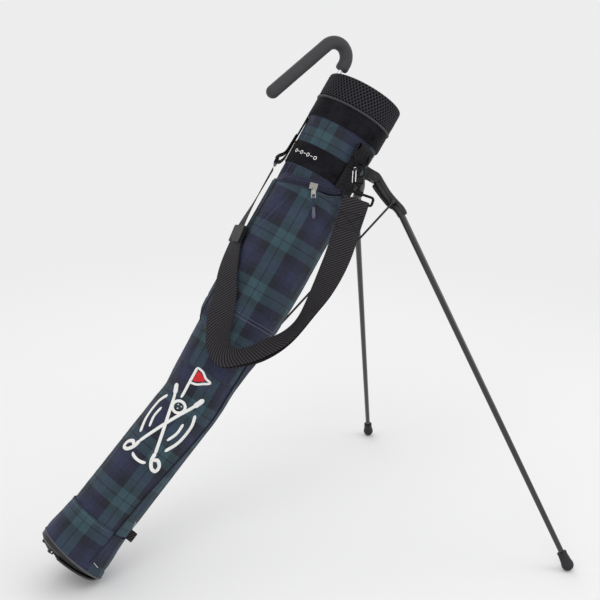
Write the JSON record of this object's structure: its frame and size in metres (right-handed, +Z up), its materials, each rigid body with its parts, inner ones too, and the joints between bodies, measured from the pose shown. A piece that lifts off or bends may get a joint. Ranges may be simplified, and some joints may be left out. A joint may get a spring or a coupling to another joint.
{
  "type": "golf stand bag",
  "caption": "Slender plaid golf bag leaning on its open folding legs, with padded rim, cane handle, zipped side pocket and webbing shoulder strap.",
  "frame": {"origin": "centre of the bounding box's base, on the floor under the bag", "axes": "+Z up, +X the way the bag leans and the legs stand out, +Y away from the pocket and strap side"},
  "size_m": [0.7062, 0.6034, 0.7616],
  "materials": {
    "plaid_fabric": "black watch plaid canvas",
    "mesh_fabric": "padded spacer mesh",
    "velour_fabric": "short pile velour",
    "piping": "corded edge binding",
    "black_webbing": "woven webbing",
    "moulded_plastic": "fine moulded grain",
    "hardware_plastic": "satin acetal",
    "leg_paint": "gloss black",
    "wire_steel": "black coated wire",
    "bright_steel": "plated",
    "foot_rubber": "matte",
    "grip_rubber": "foamed grip",
    "zip_tape": "navy tape",
    "zip_coil": "nylon coil",
    "zip_metal": "nickel plated"
  },
  "bodies": {
    "bag": {"sleeve_upper": "plaid_fabric", "sleeve_lower": "plaid_fabric", "top_cuff": "moulded_plastic", "collar_pad": "mesh_fabric", "rim_piping": "piping", "velour_cuff": "velour_fabric", "stand_band": "black_webbing", "mouth_divider": "black_webbing", "base_panel": "plaid_fabric", "base_cup": "moulded_plastic", "base_binding": "piping", "lever_pin": "bright_steel", "stand_head": "moulded_plastic", "head_backplate": "moulded_plastic", "head_screws": "bright_steel", "pivot_pin_near": "wire_steel", "pivot_pin_far": "wire_steel", "rod_guides": "moulded_plastic", "rod_cover": "plaid_fabric", "handle_grip": "grip_rubber", "handle_rod": "bright_steel", "pocket": "plaid_fabric", "zip_tape": "zip_tape", "zip_chain": "zip_coil", "d_ring_near": "hardware_plastic", "d_ring_tab_near": "black_webbing", "d_ring_far": "hardware_plastic", "d_ring_tab_far": "black_webbing"},
    "leg_near": {"leg_cap_near": "moulded_plastic", "leg_tube_near": "leg_paint", "leg_foot_near": "foot_rubber"},
    "leg_far": {"leg_cap_far": "moulded_plastic", "leg_tube_far": "leg_paint", "leg_foot_far": "foot_rubber"},
    "wire_near": {"leg_wire_near": "wire_steel"},
    "wire_far": {"leg_wire_far": "wire_steel"},
    "actuator": {"actuator_yoke": "moulded_plastic", "actuator_rod_near": "wire_steel", "actuator_rod_far": "wire_steel"},
    "lever": {"base_lever": "moulded_plastic", "base_foot": "foot_rubber"},
    "strap": {"strap_webbing": "black_webbing", "strap_ring": "hardware_plastic", "hook_body": "hardware_plastic", "hook_swivel": "hardware_plastic", "tri_glide": "hardware_plastic"},
    "gate": {"hook_gate": "hardware_plastic"},
    "zip_runner": {"zip_slider": "zip_metal"},
    "zip_tab": {"zip_pull": "zip_metal", "zip_cord": "zip_tape"}
  },
  "joints": [
    {"name": "leg_near_fold", "type": "hinge", "parent": "bag", "child": "leg_near", "pos_m": [0.16259, -0.024, 0.55675], "axis": [-0.4022, -0.8763, 0.2652], "range_deg": [-55, 0]},
    {"name": "leg_far_fold", "type": "hinge", "parent": "bag", "child": "leg_far", "pos_m": [0.16259, 0.024, 0.55675], "axis": [0.4022, -0.8763, -0.2652], "range_deg": [-55, 0]},
    {"name": "wire_near_turn", "type": "hinge", "parent": "leg_near", "child": "wire_near", "pos_m": [0.17085, -0.06604, 0.52684], "axis": [-0.4337, -0.8846, 0.1714], "range_deg": [0, 60.95]},
    {"name": "wire_far_turn", "type": "hinge", "parent": "leg_far", "child": "wire_far", "pos_m": [0.17085, 0.06604, 0.52684], "axis": [0.4337, -0.8846, -0.1714], "range_deg": [0, 60.95]},
    {"name": "actuator_slide", "type": "slide", "parent": "bag", "child": "actuator", "axis": [-0.617, 0, -0.7869], "range_m": [0, 0.03046]},
    {"name": "lever_turn", "type": "hinge", "parent": "bag", "child": "lever", "pos_m": [-0.34696, 0, 0.06162], "axis": [0, 1, 0], "range_deg": [0, 22.37]},
    {"name": "strap_swing", "type": "hinge", "parent": "bag", "child": "strap", "pos_m": [0.11282, -0.0636, 0.58118], "axis": [-0.683, 0.7303, -0.012], "range_deg": [0, 20]},
    {"name": "gate_press", "type": "hinge", "parent": "strap", "child": "gate", "pos_m": [0.10524, -0.06418, 0.57006], "axis": [-0.612, -0.6495, 0.4513], "range_deg": [-20, 0], "stiffness_Nm_per_rad": 0.02, "springref_deg": 5.73},
    {"name": "zip_run", "type": "hinge", "parent": "bag", "child": "zip_runner", "pos_m": [0.07222, 0, 0.54686], "axis": [0.2786, 0, 0.9604], "range_deg": [-25, 8]},
    {"name": "zip_tab_swing", "type": "hinge", "parent": "zip_runner", "child": "zip_tab", "pos_m": [0.04161, -0.05995, 0.55574], "axis": [0.8563, -0.4528, -0.2484], "range_deg": [-60, 0]}
  ],
  "couplings": [
    {"joint": "leg_far_fold", "follows": "leg_near_fold", "ratio": 1},
    {"joint": "wire_near_turn", "follows": "leg_near_fold", "ratio": -1.1072},
    {"joint": "wire_far_turn", "follows": "leg_near_fold", "ratio": -1.1072},
    {"joint": "actuator_slide", "follows": "leg_near_fold", "m_per_rad": -0.031714},
    {"joint": "lever_turn", "follows": "leg_near_fold", "ratio": -0.40584}
  ]
}
